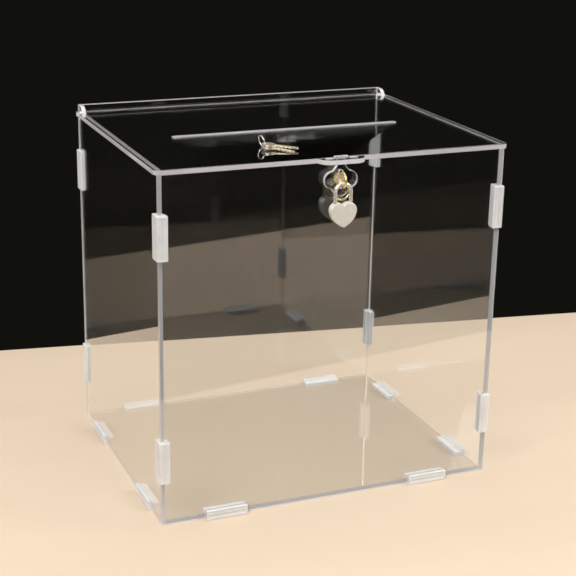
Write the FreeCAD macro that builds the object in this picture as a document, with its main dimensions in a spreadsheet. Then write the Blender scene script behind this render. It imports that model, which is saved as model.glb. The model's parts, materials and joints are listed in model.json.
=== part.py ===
import FreeCAD, Part

import math
import os
import re

from FreeCAD import Placement, Rotation, Vector

# A clear acrylic donation box: five flat panels held by push-on corner clips, a slotted lid
# that pivots in two ears at the back, and a hasp plate, brass eye and heart padlock in front.
# Millimetres. Origin: under the middle of the plan, tongue and lock included, within 2 mm, on
# the surface that the box stands on. The front faces -Y.

# alias, value, meaning
DIMENSIONS = (
    ("box_width", 250.0, "width over the side panels"),
    ("box_depth", 200.0, "depth over the front and rear panels"),
    ("plan_middle", 6.5, "middle of the four walls along Y"),
    ("lid_top", 250.0, "height of the lid's upper face"),
    ("gauge", 3.0, "thickness of every acrylic panel"),
    ("foot", 1.5, "height of the panels' lower edges, which is the clips' outer wall"),
    ("side_overhang", 2.5, "lid past each side panel"),
    ("front_overhang", 2.0, "lid past the front panel"),
    ("lid_corner", 5.0, "radius of the lid's front corners"),
    ("slot_long", 173.0, "length of the money slot"),
    ("slot_wide", 5.0, "width of the money slot"),
    ("slot_back", -3.0, "position of the slot's centre line along Y"),
    ("pivot_back", 100.0, "position of the hinge axis along Y"),
    ("ear_radius", 6.0, "radius of the hinge ears"),
    ("ear_bore", 2.6, "radius of the pivot hole in an ear"),
    ("tab_wide", 4.0, "width of the lid's pivot tabs"),
    ("ear_gap", 0.3, "space between the lid and the inner face of an ear"),
    ("notch_reach", 7.0, "hinge axis to the front of the lid's rear notches"),
    ("clip_long", 30.0, "length of a corner clip"),
    ("clip_wall", 1.5, "outer wall of a clip"),
    ("clip_liner", 1.4, "inner wall of a clip"),
    ("clip_short", 6.0, "clip flange on the panel that runs through the corner"),
    ("clip_deep", 9.0, "clip flange on the panel that stops at the corner"),
    ("clip_web", 4.4, "depth of the notch that a clip fills"),
    ("clip_low", 48.0, "height of the lower corner clips"),
    ("clip_high", 205.0, "height of the upper corner clips"),
    ("clip_across", 78.0, "base clips of the front and rear panels, from the middle"),
    ("clip_along", 58.0, "base clips of the side panels, from the walls' middle"),
    ("tongue_reach", 8.0, "lid tongue past the lid's front edge"),
    ("tongue_lobe", 8.5, "centre of each tongue lobe from the middle"),
    ("tongue_slot_at", 8.6, "centre of each tongue slot from the middle"),
    ("tongue_slot_long", 6.2, "length of a tongue slot"),
    ("tongue_slot_wide", 3.4, "width of the tongue's slots"),
    ("tongue_slot_lead", 1.0, "tongue slots ahead of the hasp plate's middle"),
    ("hasp_back", -93.9, "rear face of the hasp plate along Y"),
    ("neck_wide", 6.2, "width of the hasp's neck"),
    ("head_wide", 9.6, "width of the hasp's head above the lid"),
    ("head_high", 0.9, "height of the hasp's head above the lid"),
    ("neck_drop", 2.4, "straight part of the neck under the lid"),
    ("lobe_radius", 6.0, "radius of the hasp's three lobes"),
    ("shoulder_across", 6.5, "outer end of the hasp's sloping shoulders, from the middle"),
    ("shoulder_height", 240.3, "height of the shoulders' outer ends"),
    ("side_lobe_at", 6.0, "centre of each side lobe from the middle"),
    ("side_lobe_height", 234.9, "height of the side lobes' centres"),
    ("low_lobe_height", 229.6, "height of the lower lobe's centre"),
    ("hasp_slot_wide", 3.2, "width of the hasp's slot"),
    ("hasp_slot_high", 12.8, "height of the hasp's slot"),
    ("eye_height", 235.3, "height of the brass eye's centre"),
    ("eye_forward", -99.3, "centre of the brass eye along Y"),
    ("eye_outer", 5.5, "outer radius of the brass eye"),
    ("eye_wire", 0.9, "radius of the eye's wire"),
    ("shank_radius", 1.1, "radius of the eye's threaded shank"),
    ("shank_end", -85.9, "inner end of the shank along Y"),
    ("washer_radius", 3.5, "radius of the washer behind the front panel"),
    ("washer_thick", 0.6, "thickness of that washer"),
    ("nut_flats", 4.6, "width across the flats of the nut"),
    ("nut_thick", 1.8, "thickness of the nut"),
    ("ring_outer", 6.0, "outer radius of the drop ring"),
    ("ring_wire", 0.6, "radius of the drop ring's wire"),
    ("ring_forward", -98.0, "plane of the drop ring along Y"),
    ("lock_forward", -100.5, "plane of the padlock along Y"),
    ("shackle_wire", 1.2, "radius of the shackle's wire"),
    ("shackle_radius", 5.55, "radius of the shackle's centre line"),
    ("leg_clear", 0.08, "radial clearance of the shackle's legs"),
    ("hang_clear", 0.05, "gap where one hanging piece rests on another"),
    ("case_top", 220.5, "height of the padlock case's shoulders"),
    ("case_high", 16.4, "height of the padlock case"),
    ("case_wide", 18.4, "width of the padlock case"),
    ("cleft_depth", 2.0, "cleft of the heart below its shoulders"),
    ("shoulder_at", 4.8, "highest point of each shoulder, from the middle"),
    ("side_depth", 5.2, "widest point of the heart below its shoulders"),
    ("flank_at", 6.9, "half width of the heart low on its sides"),
    ("flank_depth", 11.4, "that place below the shoulders"),
    ("tip_round", 1.6, "half width of the heart's rounded tip"),
    ("tip_depth", 15.7, "start of the rounded tip below the shoulders"),
    ("case_thick", 5.2, "thickness of the padlock case"),
    ("heel_deep", 7.9, "long leg inside the case"),
    ("toe_deep", 4.0, "short leg inside the case"),
    ("release", 4.5, "travel of the case when the lock opens"),
    ("heel_spring_long", 2.0, "shackle spring, compressed"),
    ("heel_spring_turns", 4.0, "turns of the shackle spring"),
    ("heel_spring_radius", 1.05, "outer radius of the shackle spring"),
    ("heel_spring_wire", 0.16, "radius of the shackle spring's wire"),
    ("plug_radius", 2.2, "radius of the key plug"),
    ("plug_long", 7.6, "length of the key plug"),
    ("plug_recess", 0.5, "plug's face inside the case's tip"),
    ("keyway_wide", 1.3, "width of the keyway"),
    ("keyway_high", 3.0, "height of the keyway"),
    ("keyway_deep", 6.0, "depth of the keyway"),
    ("latch_height", 213.9, "underside of the latch bolt"),
    ("latch_high", 1.6, "height of the latch bolt"),
    ("latch_wide", 2.0, "width of the latch bolt"),
    ("latch_long", 5.5, "length of the latch bolt"),
    ("latch_travel", 2.7, "travel of the latch bolt"),
    ("latch_room", 3.8, "space behind the latch bolt, for its spring"),
    ("latch_spring_turns", 5.0, "turns of the latch spring"),
    ("latch_spring_radius", 0.75, "outer radius of the latch spring"),
    ("latch_spring_wire", 0.14, "radius of the latch spring's wire"),
    ("notch_deep", 0.6, "depth of the latch notch in the long leg"),
    ("notch_room", 0.06, "latch notch past the bolt, above and below"),
    ("key_gauge", 1.0, "thickness of a key"),
    ("key_bow", 4.8, "radius of a key's bow"),
    ("key_shoulder", 2.6, "bow's centre to the key's shoulder"),
    ("key_blade", 15.5, "length of a key's blade"),
    ("key_blade_wide", 3.4, "width of a key's blade"),
    ("key_tip", 1.6, "length of the slope at a key's tip"),
    ("key_tooth", 3.0, "distance from one cut of a key to the next"),
    ("key_cut", 0.9, "depth of the cuts in a key"),
    ("key_hole", 1.6, "radius of the hole in a bow"),
    ("key_ring_outer", 4.75, "outer radius of the key ring"),
    ("key_ring_wire", 0.4, "radius of the key ring's wire"),
    ("key_ring_turn", 95.0, "heading of the key ring, in degrees from +X"),
    ("key_ring_lean", 16.0, "lean of the key ring to its left, in degrees"),
    ("key_ring_shift", 0.3, "ring's wire off the middle of the holes, towards the keys"),
    ("key_lift", 1.4, "height of the bows above the lid, with the ring's wire under them"),
    ("key_gap", 0.4, "space between the two keys at their bows"),
    ("keys_across", -39.0, "position of the keys' holes along X"),
    ("keys_back", -58.0, "position of the keys' holes along Y"),
    ("keys_turn", -50.0, "direction of the lower key, in degrees from +X"),
    ("keys_fan", 16.0, "angle between the two keys, in degrees"),
)

doc = FreeCAD.newDocument("donation_box")
sheet = doc.addObject("Spreadsheet::Sheet", "dims")
for row, (alias, value, meaning) in enumerate(DIMENSIONS, start=1):
    sheet.set("A%d" % row, alias)
    sheet.set("B%d" % row, str(value))
    sheet.set("C%d" % row, meaning)
    sheet.setAlias("B%d" % row, alias)
doc.recompute()

nodes = {}


def size(alias):
    """A driving dimension as a number."""
    return float(getattr(sheet, alias))


def cell(text):
    """An expression in which each alias is read from the sheet."""
    return re.sub(r"\b([a-z][a-z_]+)\b(?!\()", r"dims.\1", text)


def put(solid, position):
    """Binds an object's position to three expressions."""
    for axis, text in zip("xyz", position):
        solid.setExpression(".Placement.Base." + axis, cell(text))
    return solid


def block(name, corner, sides):
    """A rectangular block from its low corner and its three sides."""
    solid = doc.addObject("Part::Box", name)
    for side, text in zip(("Length", "Width", "Height"), sides):
        solid.setExpression(side, cell(text))
    return put(solid, corner)


def rod(name, start, radius, length, direction=Vector(0, 0, 1)):
    """A round rod from the centre of its first end."""
    solid = doc.addObject("Part::Cylinder", name)
    solid.setExpression("Radius", cell(radius))
    solid.setExpression("Height", cell(length))
    solid.Placement = Placement(Vector(), Rotation(Vector(0, 0, 1), direction))
    return put(solid, start)


def hoop(name, centre, radius, wire, axis):
    """A ring of round wire about the given axis."""
    solid = doc.addObject("Part::Torus", name)
    solid.setExpression("Radius1", cell(radius))
    solid.setExpression("Radius2", cell(wire))
    solid.Placement = Placement(Vector(), Rotation(Vector(0, 0, 1), axis))
    return put(solid, centre)


def fused(name, pieces):
    """Several overlapping or touching solids as one."""
    solid = doc.addObject("Part::MultiFuse", name)
    solid.Shapes = pieces
    solid.Refine = True
    return solid


def cut(name, base, tools):
    """A solid with one or more others taken away."""
    solid = doc.addObject("Part::Cut", name)
    solid.Base = base
    solid.Tool = tools[0] if len(tools) == 1 else fused(name + "_tools", tools)
    solid.Refine = True
    return solid


def keep(label, solid):
    """Names a finished piece, which becomes a node of its own."""
    solid.Label = label
    nodes[label] = solid
    return solid


def plane_of(body, role):
    """One of a body's own origin planes."""
    return next(f for f in body.Origin.OriginFeatures if f.Role == role)


def padded_body(name, role, curves, thickness):
    """A PartDesign body: a closed outline drawn on an origin plane and padded both ways."""
    body = doc.addObject("PartDesign::Body", name)
    sketch = body.newObject("Sketcher::SketchObject", name + "_outline")
    sketch.AttachmentSupport = (plane_of(body, role), [""])
    sketch.MapMode = "FlatFace"
    for curve in curves:
        sketch.addGeometry(curve, False)
    pad = body.newObject("PartDesign::Pad", name + "_pad")
    pad.Profile = sketch
    pad.SideType = "Symmetric"
    pad.setExpression("Length", cell(thickness))
    body.Tip = pad
    doc.recompute()
    return body


def bored_through(body, name, role, curves):
    """Cuts a closed outline right through a body, and checks that it did."""
    before = body.Shape.Volume
    sketch = body.newObject("Sketcher::SketchObject", name + "_outline")
    sketch.AttachmentSupport = (plane_of(body, role), [""])
    sketch.MapMode = "FlatFace"
    for curve in curves:
        sketch.addGeometry(curve, False)
    pocket = body.newObject("PartDesign::Pocket", name)
    pocket.Profile = sketch
    pocket.SideType = "Symmetric"
    pocket.Type = "ThroughAll"
    body.Tip = pocket
    doc.recompute()
    if not body.Shape.Volume < before:
        raise RuntimeError(name + " cuts nothing")
    return body


def polygon(points):
    """The straight sides of a closed outline."""
    corners = [Vector(u, v, 0) for u, v in points]
    return [Part.LineSegment(a, b) for a, b in zip(corners, corners[1:] + corners[:1])]


def spring(name, kind, length, placement):
    """A coil spring along its own +Z, with its first end at the placement's origin."""
    wire = size(kind + "_wire")
    coil_radius = size(kind + "_radius") - wire
    rise = length - 2 * wire
    pitch = rise / size(kind + "_turns")
    path = Part.makeHelix(pitch, rise, coil_radius)
    path.translate(Vector(0, 0, wire))
    start = Vector(coil_radius, 0, wire)
    heading = Vector(0, 1, pitch / (2 * math.pi * coil_radius))
    section = Part.Wire(Part.makeCircle(wire, start, heading))
    coil = doc.addObject("Part::Feature", name)
    coil.Shape = Part.Wire(path.Edges).makePipeShell([section], True, True)
    coil.Placement = placement
    return coil


# ---------------------------------------------------------------- panels

WALL_HIGH = "(lid_top - gauge - foot)"
FRONT = "(plan_middle - box_depth / 2)"
REAR = "(plan_middle + box_depth / 2)"


def crosswise_panel(name, front_face, height):
    """The front or rear panel, as wide as the box, notched for its six clips."""
    panel = block(
        name + "_sheet",
        ("-box_width / 2", front_face, "foot"),
        ("box_width", "gauge", height),
    )
    notches = []
    for level in ("low", "high"):
        for side, corner in (("left", "-box_width / 2"), ("right", "box_width / 2 - clip_web")):
            notches.append(
                block(
                    "%s_%s_%s_notch" % (name, side, level),
                    (corner, front_face, "clip_%s - clip_long / 2" % level),
                    ("clip_web", "gauge", "clip_long"),
                )
            )
    for side, sign in (("left", "-"), ("right", "")):
        notches.append(
            block(
                "%s_base_%s_notch" % (name, side),
                (sign + "clip_across - clip_long / 2", front_face, "foot"),
                ("clip_long", "gauge", "clip_web"),
            )
        )
    return panel, notches


def make_front_panel():
    panel, tools = crosswise_panel("front", FRONT, WALL_HIGH)
    shank_hole = rod(
        "front_shank_hole",
        ("0", FRONT, "eye_height"),
        "shank_radius",
        "gauge",
        Vector(0, 1, 0),
    )
    keep("front_panel", cut("front_cut", panel, tools + [shank_hole]))


def make_rear_panel():
    height = WALL_HIGH + " - gauge / 2 + gauge + ear_radius"
    panel, tools = crosswise_panel("rear", REAR + " - gauge", height)
    keep("rear_panel", cut("rear_cut", panel, tools))


def make_side_panel(side, outer_face):
    """A side panel with the ear that carries the lid's pivot, between front and rear panels."""
    wall = block(
        side + "_wall",
        (outer_face, FRONT + " + gauge", "foot"),
        ("gauge", "box_depth - 2 * gauge", WALL_HIGH),
    )
    pivot = (outer_face, "pivot_back", "lid_top - gauge / 2")
    ear = rod(side + "_ear", pivot, "ear_radius", "gauge", Vector(1, 0, 0))
    heel = block(
        side + "_ear_heel",
        (outer_face, "pivot_back", "lid_top - gauge"),
        ("gauge", REAR + " - gauge - pivot_back", "ear_radius + gauge / 2"),
    )
    tools = [
        rod(side + "_pivot_hole", pivot, "ear_bore", "gauge", Vector(1, 0, 0)),
        block(
            side + "_rear_stop",
            (outer_face, REAR + " - gauge", "foot"),
            ("gauge", "gauge", WALL_HIGH + " + 2 * ear_radius"),
        ),
    ]
    for place, sign in (("front", "-"), ("rear", "+")):
        tools.append(
            block(
                "%s_base_%s_notch" % (side, place),
                (outer_face, "plan_middle %s clip_along - clip_long / 2" % sign, "foot"),
                ("gauge", "clip_long", "clip_web"),
            )
        )
    keep(side + "_panel", cut(side + "_cut", fused(side + "_sheet", [wall, ear, heel]), tools))


def make_base_panel():
    base = block(
        "base_sheet",
        ("-box_width / 2 + gauge", FRONT + " + gauge", "foot"),
        ("box_width - 2 * gauge", "box_depth - 2 * gauge", "gauge"),
    )
    keep("base_panel", base)


# ---------------------------------------------------------------- clips


def make_clip(label, corner, through, stopping):
    """An L-shaped clip. through: the direction in which it reaches along the panel that runs
    through the corner. stopping: the same for the panel that stops there. The clip is made
    with its corner at its own origin, +X for through, +Y for stopping and +Z for its length.
    """
    walls = (
        ("face", ("-clip_wall", "-clip_wall"), ("clip_wall + clip_short", "clip_wall")),
        ("flank", ("-clip_wall", "-clip_wall"), ("clip_wall", "clip_wall + clip_deep")),
        ("web", ("0", "0"), ("clip_web", "gauge")),
        ("liner", ("gauge", "gauge"), ("clip_liner", "clip_deep - gauge")),
        ("tuck", ("gauge", "gauge"), ("clip_short - gauge", "clip_liner")),
    )
    skin = [
        block("%s_%s" % (label, wall), corner_of + ("-clip_long / 2",), sides + ("clip_long",))
        for wall, corner_of, sides in walls
    ]
    clip = fused(label + "_clip", skin)
    along = through.cross(stopping)
    clip.Placement = Placement(Vector(), Rotation(through, stopping, along, "ZXY"))
    keep(label, put(clip, corner))


LEVEL_NAMES = {"low": "lower", "high": "upper"}


def make_clips():
    left, right = Vector(1, 0, 0), Vector(-1, 0, 0)
    front, rear = Vector(0, 1, 0), Vector(0, -1, 0)
    up = Vector(0, 0, 1)
    widths = (("left", "-box_width / 2", left), ("right", "box_width / 2", right))
    depths = (("front", FRONT, front), ("rear", REAR, rear))
    for place, at_y, inward in depths:
        for side, at_x, across in widths:
            for level in ("low", "high"):
                label = "corner_clip_%s_%s_%s" % (place, side, LEVEL_NAMES[level])
                make_clip(label, (at_x, at_y, "clip_" + level), across, inward)
        for side, sign in (("left", "-"), ("right", "")):
            middle = (sign + "clip_across", at_y, "foot")
            make_clip("base_clip_%s_%s" % (place, side), middle, up, inward)
    for side, at_x, across in widths:
        for place, sign in (("front", "-"), ("rear", "+")):
            middle = (at_x, "plan_middle %s clip_along" % sign, "foot")
            make_clip("base_clip_%s_%s" % (side, place), middle, up, across)


# ---------------------------------------------------------------- lid


def rounded_slot(name, centre, long, wide, low, high):
    """A slot along X with round ends, as a solid to cut away."""
    x, y = centre
    straight = block(
        name + "_straight",
        ("%s - (%s - %s) / 2" % (x, long, wide), "%s - %s / 2" % (y, wide), low),
        ("%s - %s" % (long, wide), wide, high),
    )
    ends = []
    for side, sign in (("left", "-"), ("right", "+")):
        end = ("%s %s (%s - %s) / 2" % (x, sign, long, wide), y, low)
        ends.append(rod(name + "_end_" + side, end, wide + " / 2", high))
    return fused(name, [straight] + ends)


def make_lid():
    under = "lid_top - gauge"
    half = "(box_width / 2 + side_overhang)"
    front_edge = "(" + FRONT + " - front_overhang)"
    inner_half = "(box_width / 2 - gauge - ear_gap)"
    rear_line = "(pivot_back - notch_reach)"
    plate = [
        block(
            "lid_field",
            ("-" + half, front_edge + " + lid_corner", under),
            ("2 * " + half, rear_line + " - " + front_edge + " - lid_corner", "gauge"),
        ),
        block(
            "lid_front_strip",
            ("-" + half + " + lid_corner", front_edge, under),
            ("2 * " + half + " - 2 * lid_corner", "lid_corner", "gauge"),
        ),
        block(
            "lid_rear_strip",
            ("-" + inner_half, rear_line, under),
            ("2 * " + inner_half, "notch_reach + tab_wide / 2", "gauge"),
        ),
        block(
            "lid_pivot_tabs",
            ("-" + half, "pivot_back - tab_wide / 2", under),
            ("2 * " + half, "tab_wide", "gauge"),
        ),
        block(
            "lid_tongue",
            ("-tongue_lobe", front_edge + " - tongue_reach", under),
            ("2 * tongue_lobe", "tongue_reach + lid_corner", "gauge"),
        ),
    ]
    for side, sign in (("left", "-"), ("right", "")):
        corner = ("%s(%s - lid_corner)" % (sign, half), front_edge + " + lid_corner", under)
        plate.append(rod("lid_corner_" + side, corner, "lid_corner", "gauge"))
        lobe = (sign + "tongue_lobe", front_edge, under)
        plate.append(rod("lid_lobe_" + side, lobe, "tongue_reach", "gauge"))
    hasp_middle = "(hasp_back - gauge / 2)"
    tools = [
        rounded_slot("money_slot", ("0", "slot_back"), "slot_long", "slot_wide", under, "gauge")
    ]
    for side, sign in (("left", "-"), ("right", "")):
        centre = (sign + "tongue_slot_at", hasp_middle + " - tongue_slot_lead")
        tools.append(
            rounded_slot(
                "tongue_slot_" + side,
                centre,
                "tongue_slot_long",
                "tongue_slot_wide",
                under,
                "gauge",
            )
        )
    tools.append(
        block(
            "neck_slot",
            ("-neck_wide / 2", "hasp_back - gauge", under),
            ("neck_wide", "gauge", "gauge"),
        )
    )
    keep("lid", cut("lid_cut", fused("lid_sheet", plate), tools))


# ---------------------------------------------------------------- hasp, eye and ring


def make_hasp_plate():
    """The clear trefoil plate that hangs from the lid's tongue and drops over the eye."""
    front_face = "hasp_back - gauge"
    inward = Vector(0, 1, 0)
    half_neck = size("neck_wide") / 2
    neck_end = size("lid_top") - size("gauge")
    right_side = [
        (size("shoulder_across"), size("low_lobe_height")),
        (size("shoulder_across"), size("shoulder_height")),
        (half_neck, neck_end - size("neck_drop")),
        (half_neck, neck_end),
    ]
    left_side = [(-u, v) for u, v in reversed(right_side)]
    throat = polygon(right_side + left_side)
    web = padded_body("hasp_web", "XZ_Plane", throat, "gauge")
    put(web, ("0", "hasp_back - gauge / 2", "0"))
    pieces = [web]
    for side, sign in (("left", "-"), ("right", "")):
        centre = (sign + "side_lobe_at", front_face, "side_lobe_height")
        pieces.append(rod("hasp_lobe_" + side, centre, "lobe_radius", "gauge", inward))
    low_centre = ("0", front_face, "low_lobe_height")
    pieces.append(rod("hasp_lobe_low", low_centre, "lobe_radius", "gauge", inward))
    neck_corner = ("-neck_wide / 2", front_face, "lid_top - gauge")
    pieces.append(block("hasp_neck", neck_corner, ("neck_wide", "gauge", "gauge")))
    head_corner = ("-head_wide / 2", front_face, "lid_top")
    pieces.append(block("hasp_head", head_corner, ("head_wide", "gauge", "head_high")))
    half_straight = "(hasp_slot_high - hasp_slot_wide) / 2"
    slot = [
        block(
            "hasp_slot_straight",
            ("-hasp_slot_wide / 2", front_face, "eye_height - " + half_straight),
            ("hasp_slot_wide", "gauge", "hasp_slot_high - hasp_slot_wide"),
        )
    ]
    for end, sign in (("low", "-"), ("high", "+")):
        centre = ("0", front_face, "eye_height %s %s" % (sign, half_straight))
        slot.append(rod("hasp_slot_" + end, centre, "hasp_slot_wide / 2", "gauge", inward))
    keep("hasp_plate", cut("hasp_cut", fused("hasp_sheet", pieces), slot))


def make_screw_eye():
    """The brass eye on the front panel, with its washer and nut on the inside."""
    loop = hoop(
        "eye_loop",
        ("0", "eye_forward", "eye_height"),
        "eye_outer - eye_wire",
        "eye_wire",
        Vector(1, 0, 0),
    )
    shank = rod(
        "eye_shank",
        ("0", "eye_forward + eye_outer - eye_wire", "eye_height"),
        "shank_radius",
        "shank_end - eye_forward - eye_outer + eye_wire",
        Vector(0, 1, 0),
    )
    keep("screw_eye", fused("eye_fused", [loop, shank]))
    inward = Vector(0, 1, 0)
    seat = ("0", FRONT + " + gauge", "eye_height")
    washer = rod("washer_disc", seat, "washer_radius", "washer_thick", inward)
    bore = rod("washer_bore", seat, "shank_radius", "washer_thick", inward)
    keep("eye_washer", cut("washer_cut", washer, [bore]))
    nut = doc.addObject("Part::Prism", "nut_hexagon")
    nut.Polygon = 6
    nut.setExpression("Circumradius", cell("nut_flats / sqrt(3)"))
    nut.setExpression("Height", cell("nut_thick"))
    nut.Placement = Placement(Vector(), Rotation(Vector(0, 0, 1), inward))
    nut_seat = ("0", FRONT + " + gauge + washer_thick", "eye_height")
    put(nut, nut_seat)
    thread = rod("nut_thread", nut_seat, "shank_radius", "nut_thick", inward)
    keep("eye_nut", cut("nut_cut", nut, [thread]))


def hanging_height(wire, plane):
    """Height at which a ring or shackle, in its plane along Y, hangs in the eye."""
    clear = size("eye_outer") - 2 * size("eye_wire") - size(wire) - size("hang_clear")
    aside = size(plane) - size("eye_forward")
    return size("eye_height") - math.sqrt(clear**2 - aside**2)


def make_drop_ring():
    hung_at = hanging_height("ring_wire", "ring_forward")
    centre = ("0", "ring_forward", "%.3f - ring_outer + ring_wire" % hung_at)
    keep(
        "drop_ring",
        hoop("ring_loop", centre, "ring_outer - ring_wire", "ring_wire", Vector(0, 1, 0)),
    )


# ---------------------------------------------------------------- padlock


def make_shackle():
    """The shackle: a half ring and two legs, with the latch notch in the long leg."""
    hung_at = hanging_height("shackle_wire", "lock_forward")
    bow_height = "%.3f - shackle_radius" % hung_at
    bow = hoop(
        "shackle_bow",
        ("0", "lock_forward", bow_height),
        "shackle_radius",
        "shackle_wire",
        Vector(0, -1, 0),
    )
    bow.Angle3 = 180
    bow.Placement = Placement(bow.Placement.Base, Rotation(Vector(1, 0, 0), 90))
    legs = [
        rod(
            "shackle_" + leg,
            (sign + "shackle_radius", "lock_forward", "case_top - %s_deep" % leg),
            "shackle_wire",
            "%s - case_top + %s_deep" % (bow_height, leg),
        )
        for leg, sign in (("heel", "-"), ("toe", ""))
    ]
    # the notch's lower side slopes, so that the latch clears it as the case drops
    surface = size("shackle_wire") - size("shackle_radius")
    bottom = surface - size("notch_deep")
    low = size("latch_height") - size("notch_room")
    high = size("latch_height") + size("latch_high") + size("notch_room")
    steepness = size("release") / size("latch_travel")
    past = surface + size("notch_deep")
    profile = polygon(
        (
            (bottom, low),
            (bottom, high),
            (past, high),
            (past, low - steepness * (past - bottom)),
        )
    )
    wedge = padded_body("notch_wedge", "XZ_Plane", profile, "4 * shackle_wire")
    put(wedge, ("0", "lock_forward", "0"))
    keep("padlock_shackle", cut("shackle_cut", fused("shackle_wire_form", [bow] + legs), [wedge]))


def heart_outline():
    """The padlock case seen from the front: two shoulders, full sides and a round tip."""
    top = size("case_top")
    cleft = Vector(0, top - size("cleft_depth"), 0)
    shoulder = Vector(size("shoulder_at"), top, 0)
    side = Vector(size("case_wide") / 2, top - size("side_depth"), 0)
    flank = Vector(size("flank_at"), top - size("flank_depth"), 0)
    tip_side = Vector(size("tip_round"), top - size("tip_depth"), 0)
    tip = Vector(0, top - size("case_high"), 0)

    def other(point):
        return Vector(-point.x, point.y, 0)

    return [
        Part.Arc(cleft, shoulder, side),
        Part.Arc(side, flank, tip_side),
        Part.Arc(tip_side, tip, other(tip_side)),
        Part.Arc(other(tip_side), other(flank), other(side)),
        Part.Arc(other(side), other(shoulder), cleft),
    ]


LATCH_TIP = "(shackle_wire - shackle_radius - notch_deep + hang_clear)"
HEEL_FLOOR = "case_top - heel_deep - heel_spring_long"


def make_padlock_case():
    """The heart-shaped case, bored for the shackle, the plug and the latch."""
    heart = padded_body("heart", "XZ_Plane", heart_outline(), "case_thick")
    put(heart, ("0", "lock_forward", "0"))
    bore = "shackle_wire + leg_clear"
    toe_floor = "case_top - toe_deep - plug_recess"
    tools = [
        rod(
            "heel_bore",
            ("-shackle_radius", "lock_forward", HEEL_FLOOR),
            bore,
            "heel_deep + heel_spring_long + gauge",
        ),
        rod(
            "toe_bore",
            ("shackle_radius", "lock_forward", toe_floor),
            bore,
            "toe_deep + gauge",
        ),
        rod(
            "plug_bore",
            ("0", "lock_forward", "case_top - case_high"),
            "plug_radius + leg_clear",
            "plug_long + plug_recess + leg_clear",
        ),
        block(
            "latch_channel",
            (
                "-shackle_radius",
                "lock_forward - latch_wide / 2 - leg_clear",
                "latch_height - leg_clear",
            ),
            (
                LATCH_TIP + " + latch_long + latch_room + shackle_radius",
                "latch_wide + 2 * leg_clear",
                "latch_high + 2 * leg_clear",
            ),
        ),
    ]
    keep("padlock_case", cut("case_cut", heart, tools))


def make_key_plug():
    """The plug that the key turns, with its keyway open downwards."""
    low = "case_top - case_high + plug_recess"
    barrel = rod("plug_barrel", ("0", "lock_forward", low), "plug_radius", "plug_long")
    keyway = block(
        "plug_keyway",
        ("-keyway_high / 2", "lock_forward - keyway_wide / 2", low),
        ("keyway_high", "keyway_wide", "keyway_deep"),
    )
    keep("key_plug", cut("plug_cut", barrel, [keyway]))


def make_latch():
    """The latch bolt and its spring, and the spring under the shackle's long leg."""
    bolt = block(
        "latch_bar",
        (LATCH_TIP, "lock_forward - latch_wide / 2", "latch_height"),
        ("latch_long", "latch_wide", "latch_high"),
    )
    keep("latch_bolt", bolt)
    bolt_end = size("shackle_wire") - size("shackle_radius") - size("notch_deep")
    bolt_end += size("hang_clear") + size("latch_long")
    middle = Vector(bolt_end, size("lock_forward"), size("latch_height") + size("latch_high") / 2)
    lying = Placement(middle, Rotation(Vector(0, 0, 1), Vector(1, 0, 0)))
    keep("latch_spring", spring("latch_coil", "latch_spring", size("latch_room"), lying))
    floor = size("case_top") - size("heel_deep") - size("heel_spring_long")
    standing = Placement(Vector(-size("shackle_radius"), size("lock_forward"), floor), Rotation())
    keep("heel_spring", spring("heel_coil", "heel_spring", size("heel_spring_long"), standing))


# ---------------------------------------------------------------- keys


def key_outline():
    """A small flat key along +X, with its hole at the origin."""
    bow, shoulder = size("key_bow"), size("key_shoulder")
    half = size("key_blade_wide") / 2
    slope, pitch, depth = size("key_tip"), size("key_tooth"), size("key_cut")
    tip = shoulder + bow + size("key_blade")
    start = shoulder + math.sqrt(bow**2 - half**2)
    blade = [(start, half), (tip - slope, half), (tip, 0), (tip - depth, -half + depth)]
    for tooth in (1, 2, 3):
        crest = tip - tooth * pitch
        blade.append((crest, -half))
        blade.append((crest - depth, -half + depth))
        blade.append((crest - 2 * depth, -half))
    blade.append((start, -half))
    corners = [Vector(u, v, 0) for u, v in blade]
    sides = [Part.LineSegment(a, b) for a, b in zip(corners, corners[1:])]
    back = Vector(shoulder - bow, 0, 0)
    return sides + [Part.Arc(corners[-1], back, corners[0])]


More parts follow.
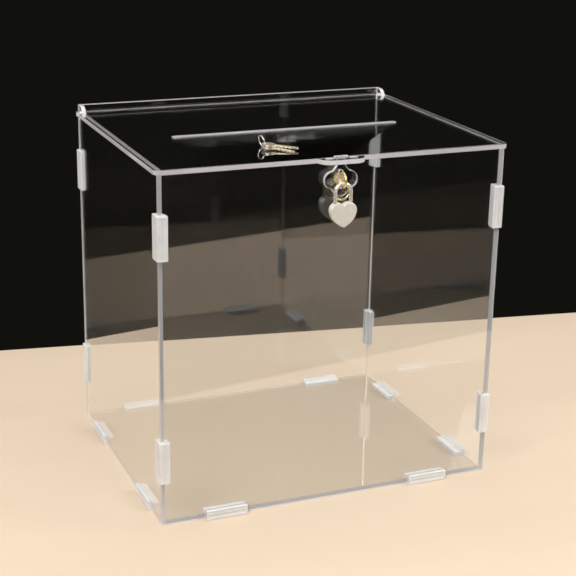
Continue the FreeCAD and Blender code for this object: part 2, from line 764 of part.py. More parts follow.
def make_keys():
    """Two keys on a small ring, lying on the lid with their bows on the ring's wire."""
    wire, gauge, clear = size("key_ring_wire"), size("key_gauge"), size("hang_clear")
    lift, gap = size("key_lift"), size("key_gap")
    reach = size("key_shoulder") + size("key_bow") + size("key_blade")
    tilt = math.degrees(math.atan2(lift, reach))
    for label, level, fan in (("key_lower", 0, 0.0), ("key_upper", 1, size("keys_fan"))):
        body = padded_body(label + "_body", "XY_Plane", key_outline(), "key_gauge")
        hole = [Part.Circle(Vector(), Vector(0, 0, 1), size("key_hole"))]
        bored_through(body, label + "_hole", "XY_Plane", hole)
        height = size("lid_top") + lift + gauge / 2 + level * (gauge + gap)
        heading = Rotation(Vector(0, 0, 1), size("keys_turn") + fan)
        body.Placement = Placement(
            Vector(size("keys_across"), size("keys_back"), height),
            heading * Rotation(Vector(0, 1, 0), tilt),
        )
        keep(label, body)
    # the ring leans to its left, resting on the lid, with its wire through both bows
    radius = size("key_ring_outer") - wire
    turn, lean = math.radians(size("key_ring_turn")), math.radians(size("key_ring_lean"))
    forward = Vector(math.cos(turn), math.sin(turn), 0)
    leftward = Vector(-math.sin(turn), math.cos(turn), 0)
    upward = leftward * math.sin(lean) + Vector(0, 0, math.cos(lean))
    above_keys = radius * math.cos(lean) + wire + clear - lift - gauge - gap / 2
    ahead = math.sqrt(radius**2 - (above_keys / math.cos(lean)) ** 2) - size("key_ring_shift")
    offset = forward * ahead + leftward * (above_keys * math.tan(lean))
    centre = (
        "keys_across + %.3f" % offset.x,
        "keys_back + %.3f" % offset.y,
        "lid_top + hang_clear + key_ring_wire + %.3f" % (radius * math.cos(lean)),
    )
    outline = ("key_ring_outer - key_ring_wire", "key_ring_wire")
    keep("key_ring", hoop("key_ring_loop", centre, *outline, forward.cross(upward)))


# ---------------------------------------------------------------- build, check, write

make_front_panel()
make_rear_panel()
make_side_panel("left", "-box_width / 2")
make_side_panel("right", "box_width / 2 - gauge")
make_base_panel()
make_clips()
make_lid()
make_hasp_plate()
make_screw_eye()
make_drop_ring()
make_shackle()
make_padlock_case()
make_key_plug()
make_latch()
make_keys()
doc.recompute()

for thing in doc.Objects:
    faults = {"Invalid", "Error"}.intersection(thing.State)
    if faults:
        raise RuntimeError("%s is %s" % (thing.Name, ", ".join(sorted(faults))))

os.makedirs("parts", exist_ok=True)
for label, thing in nodes.items():
    shape = thing.Shape
    if shape.isNull() or not shape.isValid() or len(shape.Solids) != 1:
        raise RuntimeError("%s is not one valid solid" % label)
    shape.exportStep("parts/%s.step" % label)
    print("%-34s %10.2f mm3" % (label, shape.Volume))
print(len(nodes), "nodes")
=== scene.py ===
import json
import math

import bmesh
import bpy
from mathutils import Matrix, Vector


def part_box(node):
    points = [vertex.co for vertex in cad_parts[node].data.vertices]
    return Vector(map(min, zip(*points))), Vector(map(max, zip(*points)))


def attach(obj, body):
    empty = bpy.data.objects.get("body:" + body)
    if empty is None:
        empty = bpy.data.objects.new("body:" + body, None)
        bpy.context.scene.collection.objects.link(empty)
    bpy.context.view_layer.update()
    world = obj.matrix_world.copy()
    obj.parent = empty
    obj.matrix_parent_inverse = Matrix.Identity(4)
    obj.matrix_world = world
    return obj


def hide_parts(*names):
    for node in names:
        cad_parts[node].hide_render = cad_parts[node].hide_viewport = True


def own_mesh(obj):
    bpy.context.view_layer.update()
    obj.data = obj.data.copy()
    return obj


# A clear acrylic donation box on a pale table top in front of a dark room: bevelled sheets with
# laser-cut edges, milky moulded clips, a brass eye and a brushed heart padlock with its keys.

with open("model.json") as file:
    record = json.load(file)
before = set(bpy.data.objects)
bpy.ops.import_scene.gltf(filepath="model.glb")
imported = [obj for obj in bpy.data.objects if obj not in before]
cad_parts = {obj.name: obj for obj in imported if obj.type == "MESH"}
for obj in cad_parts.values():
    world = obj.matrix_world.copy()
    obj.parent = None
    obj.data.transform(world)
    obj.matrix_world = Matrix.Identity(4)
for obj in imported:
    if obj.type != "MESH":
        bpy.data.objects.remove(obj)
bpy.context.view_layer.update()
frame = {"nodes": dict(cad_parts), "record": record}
MM = 0.001
scene = bpy.context.scene

PANELS = {
    # node: axis of the sheet's thickness
    "front_panel": 1,
    "rear_panel": 1,
    "left_panel": 0,
    "right_panel": 0,
    "base_panel": 2,
    "lid": 2,
    "hasp_plate": 1,
}


# ------------------------------------------------------------------ node helpers


class Nodes:
    """A short way to write one material's node tree."""

    def __init__(self, name):
        self.material = bpy.data.materials.new(name)
        self.material.use_nodes = True
        self.tree = self.material.node_tree
        self.tree.nodes.clear()
        self.output = self.add("ShaderNodeOutputMaterial")

    def add(self, kind, **settings):
        node = self.tree.nodes.new(kind)
        for key, value in settings.items():
            setattr(node, key, value)
        return node

    def link(self, source, target):
        self.tree.links.new(source, target)

    def place(self, scale=(1, 1, 1)):
        """The object's own coordinates in metres, stretched per axis."""
        coordinates = self.add("ShaderNodeTexCoord")
        mapping = self.add("ShaderNodeMapping")
        mapping.inputs["Scale"].default_value = scale
        self.link(coordinates.outputs["Object"], mapping.inputs["Vector"])
        return mapping.outputs["Vector"]

    def noise(self, scale, detail=3.0, stretch=(1, 1, 1), roughness=0.5):
        texture = self.add("ShaderNodeTexNoise")
        texture.inputs["Scale"].default_value = scale
        texture.inputs["Detail"].default_value = detail
        texture.inputs["Roughness"].default_value = roughness
        self.link(self.place(stretch), texture.inputs["Vector"])
        return texture.outputs["Fac"]

    def span(self, value, low, high, start=0.0, end=1.0):
        """Maps a value from start..end to low..high."""
        node = self.add("ShaderNodeMapRange")
        node.inputs["From Min"].default_value = start
        node.inputs["From Max"].default_value = end
        node.inputs["To Min"].default_value = low
        node.inputs["To Max"].default_value = high
        self.link(value, node.inputs["Value"])
        return node.outputs["Result"]

    def math(self, operation, first, second=None):
        node = self.add("ShaderNodeMath", operation=operation)
        for socket, value in zip(node.inputs, (first, second)):
            if value is None:
                continue
            if isinstance(value, (int, float)):
                socket.default_value = value
            else:
                self.link(value, socket)
        return node.outputs[0]

    def blend(self, factor, first, second):
        """Two values or sockets mixed by a factor."""
        node = self.add("ShaderNodeMix", data_type="FLOAT")
        self.link(factor, node.inputs[0])
        for socket, value in ((node.inputs[2], first), (node.inputs[3], second)):
            if isinstance(value, (int, float)):
                socket.default_value = value
            else:
                self.link(value, socket)
        return node.outputs[0]

    def colours(self, factor, stops):
        """A colour ramp: stops are (position, (r, g, b))."""
        ramp = self.add("ShaderNodeValToRGB")
        elements = ramp.color_ramp.elements
        while len(elements) < len(stops):
            elements.new(0.5)
        for element, (position, colour) in zip(elements, stops):
            element.position = position
            element.color = (*colour, 1.0)
        self.link(factor, ramp.inputs["Fac"])
        return ramp.outputs["Color"]

    def bump(self, height, distance, strength):
        node = self.add("ShaderNodeBump")
        node.inputs["Distance"].default_value = distance
        node.inputs["Strength"].default_value = strength
        self.link(height, node.inputs["Height"])
        return node.outputs["Normal"]

    def principled(self, **values):
        """The shader, with plain values on its own sockets and links for the rest."""
        shader = self.add("ShaderNodeBsdfPrincipled")
        for key, value in values.items():
            socket = shader.inputs[key.replace("_", " ")]
            if isinstance(value, bpy.types.NodeSocket):
                self.link(value, socket)
            else:
                socket.default_value = value
        return shader


# ------------------------------------------------------------------ materials

# how far scratches roughen a metal, as a share of its own range of roughness
SCRATCH_WEAR = 0.5


def acrylic(name, axis):
    """Clear cast sheet: polished faces with a few fine scuffs, and laser-cut edges whose fine
    lines run across the sheet's thickness."""
    n = Nodes(name)
    parts = n.add("ShaderNodeSeparateXYZ")
    coordinates = n.add("ShaderNodeTexCoord")
    n.link(coordinates.outputs["Normal"], parts.inputs["Vector"])
    facing = n.math("ABSOLUTE", parts.outputs[axis])
    edge = n.math("LESS_THAN", facing, 0.5)
    squeeze = [900.0, 900.0, 900.0]
    squeeze[axis] = 30.0
    lines = n.noise(1.0, 2.0, tuple(squeeze))
    smudge = n.noise(14.0, 5.0, roughness=0.65)
    face_roughness = n.span(smudge, 0.0, 0.03, 0.55, 0.85)
    edge_roughness = n.span(lines, 0.25, 0.45)
    roughness = n.blend(edge, face_roughness, edge_roughness)
    scuffs = n.noise(220.0, 2.0)
    height = n.blend(edge, n.math("MULTIPLY", scuffs, 0.02), lines)
    colour = n.colours(edge, ((0.0, (0.995, 0.998, 0.998)), (1.0, (0.88, 0.85, 0.86))))
    shader = n.principled(
        Base_Color=colour,
        Roughness=roughness,
        IOR=1.49,
        Transmission_Weight=n.span(edge, 1.0, 0.5),
        Coat_Weight=0.7,
        Coat_IOR=1.6,
        Coat_Roughness=0.02,
        Normal=n.bump(height, 0.00003, 0.5),
    )
    # lamps shine through the sheet, a little weakened
    clear = n.add("ShaderNodeBsdfTransparent")
    clear.inputs["Color"].default_value = (0.995, 1.0, 1.0, 1)
    path = n.add("ShaderNodeLightPath")
    mix = n.add("ShaderNodeMixShader")
    n.link(path.outputs["Is Shadow Ray"], mix.inputs[0])
    n.link(shader.outputs[0], mix.inputs[1])
    n.link(clear.outputs[0], mix.inputs[2])
    n.link(mix.outputs[0], n.output.inputs["Surface"])
    return n.material


def milky_plastic():
    """Moulded translucent clip plastic with a fine sparked texture and faint flow marks."""
    n = Nodes("milky_clip_plastic")
    cloud = n.noise(60.0, 4.0)
    grain = n.noise(2600.0, 3.0)
    colour = n.colours(cloud, ((0.3, (0.88, 0.88, 0.88)), (0.7, (0.95, 0.95, 0.95))))
    shader = n.principled(
        Base_Color=colour,
        Roughness=n.span(grain, 0.30, 0.48),
        IOR=1.49,
        Subsurface_Weight=0.15,
        Subsurface_Radius=(0.004, 0.004, 0.004),
        Subsurface_Scale=1.0,
        Alpha=n.span(cloud, 0.54, 0.66, 0.3, 0.7),
        Normal=n.bump(grain, 0.00003, 0.4),
    )
    n.link(shader.outputs[0], n.output.inputs["Surface"])
    return n.material


def metal(
    name, dark, light, rough, stretch=(1, 1, 1), scale=900.0, depth=0.00001, sheen=1.0
):
    """Plated or polished metal: a fine directional grain, tarnish clouds and small scratches.
    sheen is how much of it mirrors; the rest is the soft glow of a satin finish."""
    n = Nodes(name)
    grain = n.noise(scale, 4.0, stretch)
    cloud = n.noise(260.0, 4.0)
    scratch = n.noise(2400.0, 2.0, (0.15, 0.6, 1.0))
    tint = n.blend(cloud, grain, cloud)
    colour = n.colours(tint, ((0.25, dark), (0.65, light)))
    low, high = rough
    worn = n.span(scratch, 0.0, SCRATCH_WEAR * (high - low), 0.55, 0.8)
    shader = n.principled(
        Base_Color=colour,
        Metallic=sheen,
        Roughness=n.math("ADD", n.span(grain, low, high, 0.3, 0.7), worn),
        Normal=n.bump(grain, depth, 0.6),
    )
    n.link(shader.outputs[0], n.output.inputs["Surface"])
    return n.material


def table_top():
    """A plain pale table top with only a faint variation in tone and sheen."""
    n = Nodes("pale_table")
    cloud = n.noise(1.6, 3.0, (1.0, 5.0, 1.0))
    colour = n.colours(cloud, ((0.3, (0.70, 0.535, 0.375)), (0.7, (0.75, 0.58, 0.41))))
    shader = n.principled(
        Base_Color=colour,
        Roughness=n.span(cloud, 0.5, 0.6),
    )
    n.link(shader.outputs[0], n.output.inputs["Surface"])
    return n.material


CLIP_PLASTIC = milky_plastic()
SHEET = {axis: acrylic("clear_acrylic_" + "xyz"[axis], axis) for axis in range(3)}
GOLD = metal(
    "gold_brass",
    (0.62, 0.42, 0.16),
    (0.84, 0.64, 0.30),
    (0.2, 0.34),
    sheen=0.75,
)
BRUSHED = metal(
    "brushed_pale_brass",
    (0.84, 0.77, 0.67),
    (0.98, 0.93, 0.84),
    (0.34, 0.52),
    stretch=(0.05, 0.3, 1.0),
    scale=3200.0,
    depth=0.00003,
    sheen=0.35,
)
POLISHED = metal(
    "polished_pale_brass",
    (0.78, 0.71, 0.56),
    (0.94, 0.89, 0.75),
    (0.18, 0.32),
    sheen=0.6,
)
KEY_METAL = metal(
    "stamped_key_brass",
    (0.66, 0.56, 0.38),
    (0.88, 0.79, 0.60),
    (0.20, 0.34),
    sheen=0.8,
)
STEEL = metal("bright_steel", (0.66, 0.66, 0.66), (0.86, 0.86, 0.85), (0.12, 0.22))


# ------------------------------------------------------------------ mesh helpers

# an edge is sharp when its faces turn by more than this, in degrees
SHARP_ANGLE = 30


def finish_mesh(name, mesh, material, body, nodes, smooth=32, weighted=False):
    """Puts a mesh in the scene as a piece that rides on a body and stands for CAD nodes."""
    piece = bpy.data.objects.new(name, mesh)
    scene.collection.objects.link(piece)
    mesh.materials.clear()
    mesh.materials.append(material)
    mesh.shade_smooth()
    mesh.set_sharp_from_angle(angle=math.radians(smooth))
    if weighted:
        # broad faces stay flat, and only the rounded edges between them are shaded round
        normals = piece.modifiers.new("normals", "WEIGHTED_NORMAL")
        normals.keep_sharp = True
        normals.weight = 100
    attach(piece, body)
    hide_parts(*nodes)
    return piece


def body_of(node):
    """The body that a CAD node belongs to."""
    bodies = frame["record"]["behaviour"]["bodies"]
    return next(body for body, members in bodies.items() if node in members)


def slot_of(node):
    """The record's material slot of a CAD node."""
    return next(s["material_slot"] for s in frame["record"]["subparts"] if s["node"] == node)


def to_mesh(bm, name):
    """A bmesh as a mesh of that name."""
    mesh = bpy.data.meshes.new(name)
    bm.to_mesh(mesh)
    bm.free()
    return mesh


def cad_copy(node):
    """A CAD node's mesh as a new bmesh with its flat faces joined up."""
    bm = bmesh.new()
    bm.from_mesh(frame["nodes"][node].data)
    bmesh.ops.remove_doubles(bm, verts=bm.verts, dist=1e-7)
    bmesh.ops.dissolve_limit(
        bm, angle_limit=math.radians(0.5), verts=bm.verts, edges=bm.edges
    )
    return bm


def bevel_sharp(bm, width, segments=2, chosen=None):
    """Rounds a bmesh's sharp edges, or those of them that the test chooses."""
    limit = math.radians(SHARP_ANGLE)
    edges = [e for e in bm.edges if e.is_manifold and e.calc_face_angle(0.0) > limit]
    if chosen is not None:
        edges = [e for e in edges if chosen(e)]
    bmesh.ops.bevel(
        bm,
        geom=edges,
        offset=width,
        offset_type="OFFSET",
        segments=segments,
        profile=0.5,
        affect="EDGES",
        clamp_overlap=True,
    )


def skin(bm, rings):
    """A closed surface over a row of rings that have as many points each."""
    count = len(rings[0])
    for lower, upper in zip(rings, rings[1:]):
        for k in range(count):
            after = (k + 1) % count
            bm.faces.new((lower[k], lower[after], upper[after], upper[k]))
    bm.faces.new(rings[0])
    bm.faces.new(rings[-1])


# ------------------------------------------------------------------ sheets

# the air left all round a sheet, and the width of its eased edges
SHEET_AIR = 0.03 * MM
ARRIS = 0.22 * MM


def make_sheet(node, axis):
    """A panel with its arrises eased, a hair smaller than its place so that sheets that meet
    keep the thin line of air that shows between real ones."""
    bm = cad_copy(node)
    low, high = (Vector(corner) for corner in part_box(node))
    middle = (low + high) / 2
    for vert in bm.verts:
        for k in range(3):
            half = (high[k] - low[k]) / 2
            vert.co[k] = middle[k] + (vert.co[k] - middle[k]) * (half - SHEET_AIR) / half
    bevel_sharp(bm, ARRIS)
    name = node + "_sheet"
    mesh = to_mesh(bm, name)
    finish_mesh(name, mesh, SHEET[axis], body_of(node), [node], 12)


# ------------------------------------------------------------------ clips

# millimetres: outer wall, inner wall, the sheet's thickness
WALL, LINER, GAUGE = 1.5, 1.4, 3.0
# millimetres: reach over each sheet, web between the sheets, half the clip's length
CLIP_SHORT, CLIP_DEEP, WEB, CLIP_HALF = 6.0, 9.0, 4.4, 15.0
# millimetres: round of the outer corner, ease of the rims, play around the sheets
CORNER_ROUND, EASE, PLAY = 0.9, 0.3, 0.05
# millimetres: depth of the recess, and ease of the clip's ends
RECESS, END_EASE = 0.45, 0.18
# height of the rib, as a share of the recess
RIB_SHARE = 0.45


def clip_section(recess):
    """A clip's outline in millimetres: u along the panel that runs through the corner, v along
    the panel that stops there. recess lowers the two outer faces between their rims."""
    corner = [
        (
            -WALL + CORNER_ROUND - CORNER_ROUND * math.sin(t),
            -WALL + CORNER_ROUND - CORNER_ROUND * math.cos(t),
        )
        for t in (math.radians(15 * k) for k in range(6, -1, -1))
    ]
    rib = RIB_SHARE * recess
    return corner + [
        (0.5, -WALL),
        (0.8, -WALL + recess),
        (2.6, -WALL + recess),
        (2.8, -WALL + rib),
        (3.2, -WALL + rib),
        (3.4, -WALL + recess),
        (4.9, -WALL + recess),
        (5.1, -WALL),
        (CLIP_SHORT - EASE, -WALL),
        (CLIP_SHORT, -WALL + EASE),
        (CLIP_SHORT, -PLAY),
        (WEB, -PLAY),
        (WEB, GAUGE + PLAY),
        (CLIP_SHORT, GAUGE + PLAY),
        (CLIP_SHORT, GAUGE + LINER - EASE),
        (CLIP_SHORT - EASE, GAUGE + LINER),
        (WEB, GAUGE + LINER),
        (WEB, CLIP_DEEP - EASE),
        (WEB - EASE, CLIP_DEEP),
        (GAUGE + PLAY, CLIP_DEEP),
        (GAUGE + PLAY, GAUGE),
        (-PLAY, GAUGE),
        (-PLAY, CLIP_DEEP),
        (-WALL + EASE, CLIP_DEEP),
        (-WALL, CLIP_DEEP - EASE),
        (-WALL, 8.1),
        (-WALL + recess, 7.8),
        (-WALL + recess, 5.0),
        (-WALL + rib, 4.8),
        (-WALL + rib, 4.4),
        (-WALL + recess, 4.2),
        (-WALL + recess, 1.0),
        (-WALL, 0.7),
    ]


CLIP_STATIONS = (
    # distance along the clip from its middle, depth of the recess, inset of the outline
    (-CLIP_HALF, 0.0, END_EASE),
    (-CLIP_HALF + END_EASE, 0.0, 0.0),
    (-CLIP_HALF + 1.5, 0.0, 0.0),
    (-CLIP_HALF + 1.8, RECESS, 0.0),
    (CLIP_HALF - 1.8, RECESS, 0.0),
    (CLIP_HALF - 1.5, 0.0, 0.0),
    (CLIP_HALF - END_EASE, 0.0, 0.0),
    (CLIP_HALF, 0.0, END_EASE),
)


def inset(outline, amount):
    """An anticlockwise outline moved inwards by an amount."""
    if not amount:
        return outline
    moved = []
    count = len(outline)
    for k, (u, v) in enumerate(outline):
        before, after = outline[k - 1], outline[(k + 1) % count]
        first = Vector((u - before[0], v - before[1]))
        second = Vector((after[0] - u, after[1] - v))
        normal = Vector((-first.y, first.x)).normalized()
        normal += Vector((-second.y, second.x)).normalized()
        if normal.length < 0.2:
            moved.append((u, v))
            continue
        normal.normalize()
        moved.append((u + normal.x * amount, v + normal.y * amount))
    return moved


def make_clip(node, through, stopping):
    """One clip. through and stopping are (axis, sign) of the section's u and v."""
    low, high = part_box(node)
    lengthwise = 3 - through[0] - stopping[0]
    middle = (low[lengthwise] + high[lengthwise]) / 2

    def place(u, v, w):
        point = [0.0, 0.0, 0.0]
        for (axis, sign), value in ((through, u), (stopping, v)):
            outer = low[axis] if sign > 0 else high[axis]
            point[axis] = outer + sign * (value + WALL) * MM
        point[lengthwise] = middle + w * MM
        return point

    bm = bmesh.new()
    rings = []
    for along, recess, shrink in CLIP_STATIONS:
        outline = inset(clip_section(recess), shrink)
        rings.append([bm.verts.new(place(u, v, along)) for u, v in outline])
    skin(bm, rings)
    bmesh.ops.triangulate(bm, faces=[f for f in bm.faces if len(f.verts) > 4])
    bmesh.ops.recalc_face_normals(bm, faces=bm.faces)
    name = node + "_moulding"
    mesh = to_mesh(bm, name)
    finish_mesh(name, mesh, CLIP_PLASTIC, body_of(node), [node], 50, True)


def make_clips():
    """The corner and base clips, each turned as its node's name says."""
    inward = {"left": 1, "right": -1, "front": 1, "rear": -1}
    for node in sorted(frame["nodes"]):
        words = node.split("_")
        if words[0] == "corner" and words[1] == "clip":
            make_clip(node, (0, inward[words[3]]), (1, inward[words[2]]))
        elif words[0] == "base" and words[1] == "clip":
            across = 1 if words[2] in ("front", "rear") else 0
            make_clip(node, (2, 1), (across, inward[words[2]]))


# ------------------------------------------------------------------ brass eye and ring

# radii of the eye's wire and of its shank
EYE_WIRE, SHANK = 0.9 * MM, 1.08 * MM
# the thread's pitch, its depth, and the plain length before it
PITCH, THREAD_DEEP, PLAIN = 0.5 * MM, 0.16 * MM, 3.0 * MM
# the lengths over which the thread fades in and the tip narrows
THREAD_RUN, TIP = 0.6 * MM, 0.5 * MM
# where the drop ring's ends meet, and the gap between them, in degrees
GAP_AT, GAP_WIDE = 128, 4


def ring_frames(points):
    """Centre, sideways and binormal directions along a path of points, free of twist."""
    count = len(points)
    tangents = []
    for k in range(count):
        before, after = points[max(k - 1, 0)], points[min(k + 1, count - 1)]
        tangents.append((after - before).normalized())
    helper = Vector((0, 0, 1))
    if abs(tangents[0].dot(helper)) > 0.9:
        helper = Vector((1, 0, 0))
    side = (helper - tangents[0] * tangents[0].dot(helper)).normalized()
    frames = []
    for point, tangent in zip(points, tangents):
        side = (side - tangent * tangent.dot(side)).normalized()
        frames.append((point, side, tangent.cross(side)))
    return frames


def tube(bm, points, radius, sides, taper):
    """A round wire along a path, with closed ends. taper holds a radius factor per point."""
    rings = []
    for factor, (centre, side, other) in zip(taper, ring_frames(points)):
        r = radius * factor
        ring = []
        for j in range(sides):
            angle = 2 * math.pi * j / sides
            offset = side * (math.cos(angle) * r)
            offset += other * (math.sin(angle) * r)
            ring.append(bm.verts.new(centre + offset))
        rings.append(ring)
    skin(bm, rings)


def rounded_taper(count, ends):
    """Radius factors that round off both ends of a wire."""
    factors = [1.0] * count
    for k in range(ends):
        factor = math.sqrt(max(0.0, 1 - ((ends - k) / (ends + 0.6)) ** 2))
        factors[k] = factor
        factors[-1 - k] = factor
    return factors


def make_eye():
    """The eye's loop, closed back on itself, and its threaded shank."""
    low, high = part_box("screw_eye")
    outer = (high[2] - low[2]) / 2
    centre = Vector((0, low[1] + outer, (low[2] + high[2]) / 2))
    bm = bmesh.new()
    radius = outer - EYE_WIRE
    steps = 72
    start, sweep = math.radians(12), math.radians(344)
    path = []
    for k in range(steps + 1):
        angle = start + sweep * k / steps
        path.append(centre + Vector((0, math.cos(angle), math.sin(angle))) * radius)
    tube(bm, path, EYE_WIRE, 24, rounded_taper(steps + 1, 2))
    begin, end = centre.y + radius - 0.2 * MM, high[1]
    sides = 24
    count = int((end - begin) / (PITCH / 8))
    rings = []
    for k in range(count + 1):
        along = begin + (end - begin) * k / count
        ring = []
        for j in range(sides):
            angle = 2 * math.pi * j / sides
            phase = (along - begin) / PITCH - j / sides
            crest = abs((phase % 1.0) * 2 - 1)
            cut = min(1.0, max(0.0, (along - begin - PLAIN) / THREAD_RUN))
            tip = min(1.0, (end - along) / TIP)
            r = SHANK - THREAD_DEEP * (1 - crest) * cut
            r *= 0.75 + 0.25 * tip
            ring.append(
                bm.verts.new((r * math.cos(angle), along, centre.z + r * math.sin(angle)))
            )
        rings.append(ring)
    skin(bm, rings)
    bmesh.ops.recalc_face_normals(bm, faces=bm.faces)
    mesh = to_mesh(bm, "threaded_eye")
    finish_mesh("threaded_eye", mesh, GOLD, "box", ["screw_eye"], 45)


def make_eased(node, name, material, width, segments=2, smooth=32, chosen=None):
    """A CAD node's shape with its sharp edges rounded."""
    bm = cad_copy(node)
    bevel_sharp(bm, width, segments, chosen)
    mesh = to_mesh(bm, name)
    finish_mesh(name, mesh, material, body_of(node), [node], smooth, True)


def make_drop_ring():
    """The ring of bent wire, with the gap where its ends meet turned up and to the back."""
    low, high = (Vector(corner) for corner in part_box("drop_ring"))
    centre = (low + high) / 2
    wire = (high.y - low.y) / 2
    radius = (high.x - low.x) / 2 - wire
    steps = 96
    gap = math.radians(GAP_WIDE)
    path = []
    for k in range(steps + 1):
        angle = math.radians(GAP_AT) + gap / 2 + (2 * math.pi - gap) * k / steps
        path.append(centre + Vector((math.cos(angle), 0, math.sin(angle))) * radius)
    bm = bmesh.new()
    tube(bm, path, wire, 20, rounded_taper(steps + 1, 1))
    bmesh.ops.recalc_face_normals(bm, faces=bm.faces)
    mesh = to_mesh(bm, "bent_wire_ring")
    finish_mesh("bent_wire_ring", mesh, GOLD, "drop_ring", ["drop_ring"], 45)


# ------------------------------------------------------------------ padlock and keys

# which way the key ring faces and how far it leans, in degrees
RING_TURN, RING_LEAN = 95.0, 16.0
# the key ring's outer radius, and the radius of the CAD ring's wire
RING_OUTER, RING_WIRE = 4.75 * MM, 0.4 * MM


def make_padlock():
    """The heart case with a rounded rim, its shackle and its key plug."""
    low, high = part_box("padlock_case")
    nearest, farthest = low[1] + 0.02 * MM, high[1] - 0.02 * MM

    def on_rim(edge):
        """Whether an edge lies in the heart's front or back face."""
        ys = [v.co.y for v in edge.verts]
        return max(ys) < nearest or min(ys) > farthest

    make_eased("padlock_case", "heart_case", BRUSHED, 0.55 * MM, 4, 40, on_rim)
    make_eased("padlock_shackle", "bent_shackle", POLISHED, 0.12 * MM, 2, 40)
    make_eased("key_plug", "plug_barrel", KEY_METAL, 0.12 * MM, 2, 40)


def make_key_ring():
    """A split ring: two turns of round wire pressed together, leaning as the CAD ring does."""
    low, high = (Vector(corner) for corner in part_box("key_ring"))
    centre = (low + high) / 2
    turn, lean = math.radians(RING_TURN), math.radians(RING_LEAN)
    forward = Vector((math.cos(turn), math.sin(turn), 0))
    leftward = Vector((-math.sin(turn), math.cos(turn), 0))
    upward = leftward * math.sin(lean) + Vector((0, 0, math.cos(lean)))
    across = forward.cross(upward)
    radius = RING_OUTER - RING_WIRE
    steps, turns = 160, 1.92
    path = []
    for k in range(steps + 1):
        t = k / steps
        angle = 2 * math.pi * turns * t + math.radians(70)
        point = centre + forward * (math.cos(angle) * radius)
        point += upward * (math.sin(angle) * radius) + across * ((t - 0.5) * RING_WIRE)
        path.append(point)
    bm = bmesh.new()
    tube(bm, path, 0.55 * RING_WIRE, 14, rounded_taper(steps + 1, 2))
    bmesh.ops.recalc_face_normals(bm, faces=bm.faces)
    mesh = to_mesh(bm, "split_ring")
    finish_mesh("split_ring", mesh, STEEL, "key_ring", ["key_ring"], 45)


def make_small_pieces():
    """The eye's washer and nut, the keys, and the latch with its springs."""
    make_eased("eye_washer", "washer_disc", GOLD, 0.1 * MM)
    make_eased("eye_nut", "chamfered_nut", GOLD, 0.25 * MM)
    for node in ("key_lower", "key_upper"):
        make_eased(node, node + "_stamping", KEY_METAL, 0.16 * MM)
    for node in ("latch_bolt", "heel_spring"):
        frame["nodes"][node].data.materials.clear()
        frame["nodes"][node].data.materials.append(STEEL)
    # the spring that the bolt slides into, as a piece with a mesh of its own
    mesh = frame["nodes"]["latch_spring"].data.copy()
    body, slot = body_of("latch_spring"), slot_of("latch_spring")
    coil = finish_mesh("latch_coil", mesh, STEEL, body, ["latch_spring"], 45)
    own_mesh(coil)


# ------------------------------------------------------------------ the room


def make_table():
    """The table top, whose far edge is turned slightly to the box."""
    turn = math.radians(-9.0)
    far, near, wide, thick, air = 0.249, 0.31, 5.0, 0.025, 0.0001
    bm = bmesh.new()
    bmesh.ops.create_cube(bm, size=1.0)
    for vert in bm.verts:
        vert.co.x *= wide
        vert.co.y = far if vert.co.y > 0 else -near
        vert.co.z = -air if vert.co.z > 0 else -thick
    bevel_sharp(bm, 0.002, 3)
    bm.transform(Matrix.Rotation(turn, 4, "Z"))
    table = bpy.data.objects.new("table_top", to_mesh(bm, "table_top"))
    table.data.materials.append(table_top())
    table.data.shade_smooth()
    table.data.set_sharp_from_angle(angle=math.radians(40))
    scene.collection.objects.link(table)


def add_lamp(name, place, target, wide, power, colour=(1, 1, 1)):
    """A square softbox at a place, turned to a target."""
    lamp = bpy.data.lights.new(name, "AREA")
    lamp.shape = "RECTANGLE"
    lamp.size, lamp.size_y = wide, wide
    lamp.energy = power
    lamp.color = colour
    holder = bpy.data.objects.new(name, lamp)
    holder.location = place
    aim = Vector(target) - Vector(place)
    holder.rotation_euler = aim.to_track_quat("-Z", "Y").to_euler()
    scene.collection.objects.link(holder)


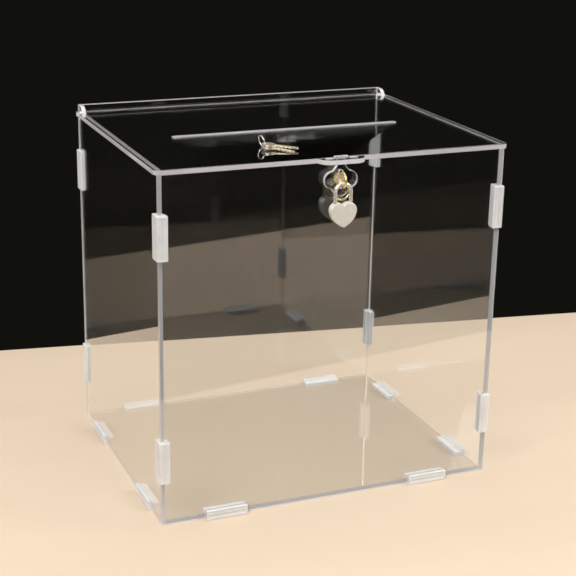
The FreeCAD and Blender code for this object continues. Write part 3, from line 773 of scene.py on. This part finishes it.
def light_room():
    """An almost black room with three softboxes."""
    world = bpy.data.worlds.new("dark_room")
    world.use_nodes = True
    background = world.node_tree.nodes["Background"]
    background.inputs["Color"].default_value = (0.0031, 0.0030, 0.0024, 1)
    background.inputs["Strength"].default_value = 1.0
    scene.world = world
    middle = (0, 0, 0.1)
    add_lamp("key_softbox", (-1.3, -1.2, 1.5), middle, 1.2, 40, (1.0, 0.98, 0.95))
    add_lamp("fill_softbox", (1.5, -1.0, 1.2), middle, 1.0, 21, (1.0, 0.98, 0.96))
    add_lamp("top_softbox", (0.1, 0.1, 1.8), middle, 2.2, 30)


def add_camera():
    """The viewpoint: ahead and to the left, looking slightly down, with a small roll."""
    azimuth, elevation, roll = (math.radians(v) for v in (22.78, 18.52, 1.09))
    distance = 1.0395
    forward = Vector(
        (
            math.sin(azimuth) * math.cos(elevation),
            math.cos(azimuth) * math.cos(elevation),
            -math.sin(elevation),
        )
    )
    right = Vector((math.cos(azimuth), -math.sin(azimuth), 0))
    up = right.cross(forward)
    aim = Vector((0.0066, 0.0061, 0.1265))
    turned_right = right * math.cos(roll) + up * math.sin(roll)
    turned_up = up * math.cos(roll) - right * math.sin(roll)
    axes = Matrix((turned_right, turned_up, -forward)).transposed().to_4x4()
    camera = bpy.data.cameras.new("camera")
    camera.sensor_width = 36.0
    camera.lens = 86.6
    camera.clip_start = 0.01
    holder = bpy.data.objects.new("camera", camera)
    holder.matrix_world = Matrix.Translation(aim - forward * distance) @ axes
    scene.collection.objects.link(holder)
    scene.camera = holder


def set_light_paths():
    """Room for light to cross every sheet and to run along inside their edges."""
    cycles = scene.cycles
    cycles.max_bounces = 32
    cycles.transmission_bounces = 32
    cycles.glossy_bounces = 12
    cycles.diffuse_bounces = 4
    cycles.transparent_max_bounces = 32
    cycles.caustics_reflective = False
    cycles.caustics_refractive = False
    scene.view_settings.view_transform = "Standard"
    scene.view_settings.gamma = 1.2


for panel, thickness_axis in PANELS.items():
    make_sheet(panel, thickness_axis)
make_clips()
make_eye()
make_drop_ring()
make_padlock()
make_key_ring()
make_small_pieces()
make_table()
light_room()
add_camera()
set_light_paths()
